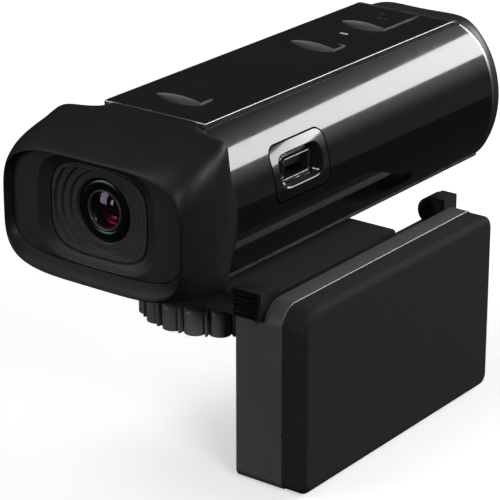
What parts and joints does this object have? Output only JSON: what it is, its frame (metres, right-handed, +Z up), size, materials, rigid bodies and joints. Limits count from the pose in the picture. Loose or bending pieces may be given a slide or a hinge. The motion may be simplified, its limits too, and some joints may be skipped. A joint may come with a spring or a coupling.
{
  "type": "bar webcam on folding clip stand",
  "caption": "Bar-shaped webcam with a flared hood, top keys and a side socket, held by a thumb-wheel screw on a clip plate that folds over a rubber-faced leg.",
  "frame": {"origin": "centre of the rubber face of the leg", "axes": "+X out of the rubber face, lens looks along -Y, +Z up"},
  "size_m": [0.0494, 0.1013, 0.0652],
  "materials": {
    "hood_black": "fine matte",
    "bezel_grey": "satin",
    "baffle_grey": "satin, stepped rings",
    "barrel_black": "satin",
    "retainer_grey": "satin",
    "lens_glass": "coated",
    "filter_glass": "coated",
    "shell_black": "high gloss",
    "panel_black": "high gloss",
    "trim_chrome": "bright",
    "under_black": "matte",
    "cap_black": "satin",
    "board_green": "solder mask",
    "chip_black": "matte",
    "brass": "satin",
    "steel": "satin",
    "light_clear": "clear",
    "frame_grey": "satin gloss",
    "stand_black": "fine matte",
    "pad_rubber": "fine grain",
    "wheel_grey": "satin"
  },
  "bodies": {
    "leg": {"leg": "stand_black", "leg_pad": "pad_rubber", "rear_tab": "stand_black", "tab_screw": "steel", "hinge_pin": "steel", "friction_washers": "steel"},
    "plate": {"clip_plate": "stand_black", "plate_pad": "pad_rubber"},
    "wheel": {"thumb_wheel": "wheel_grey", "clamp_screw": "steel", "wheel_cap": "wheel_grey", "retaining_clip": "steel"},
    "camera": {"hood": "hood_black", "front_bezel": "bezel_grey", "baffle": "baffle_grey", "lens_barrel": "barrel_black", "lens_retainer": "retainer_grey", "front_lens": "lens_glass", "aperture_stop": "barrel_black", "rear_lens": "lens_glass", "ir_filter": "filter_glass", "lens_holder": "barrel_black", "image_sensor": "chip_black", "sensor_board": "board_green", "side_shell_right": "shell_black", "side_shell_left": "shell_black", "top_panel": "panel_black", "trim_frame": "trim_chrome", "bottom_panel": "under_black", "bottom_trim": "trim_chrome", "rear_ring": "trim_chrome", "rear_cap": "cap_black", "main_board": "board_green", "main_chips": "chip_black", "board_spacers": "brass", "key_board": "board_green", "key_switches": "steel", "microphone": "steel", "status_light": "light_clear", "port_frame": "frame_grey", "socket_shell": "steel", "socket_tongue": "chip_black", "tripod_nut": "brass", "case_screws": "steel"},
    "front_key": {"front_key": "panel_black"},
    "middle_key": {"middle_key": "panel_black"},
    "rear_key": {"rear_key": "panel_black"}
  },
  "joints": [
    {"name": "plate_fold", "type": "hinge", "parent": "leg", "child": "plate", "pos_m": [-0.0175, 0.0045, 0.0115], "axis": [0, -1, 0], "range_deg": [0, 90]},
    {"name": "wheel_turn", "type": "hinge", "parent": "plate", "child": "wheel", "pos_m": [-0.03, -0.014, 0.0095], "axis": [0, 0, 1], "continuous": true},
    {"name": "camera_turn", "type": "hinge", "parent": "plate", "child": "camera", "pos_m": [-0.03, -0.014, 0.0191], "axis": [0, 0, 1], "continuous": true},
    {"name": "front_press", "type": "slide", "parent": "camera", "child": "front_key", "axis": [0, 0, -1], "range_m": [0, 0.0005], "stiffness_N_per_m": 1000, "springref_m": -0.0005},
    {"name": "middle_press", "type": "slide", "parent": "camera", "child": "middle_key", "axis": [0, 0, -1], "range_m": [0, 0.0005], "stiffness_N_per_m": 1000, "springref_m": -0.0005},
    {"name": "rear_press", "type": "slide", "parent": "camera", "child": "rear_key", "axis": [0, 0, -1], "range_m": [0, 0.0005], "stiffness_N_per_m": 1000, "springref_m": -0.0005}
  ]
}
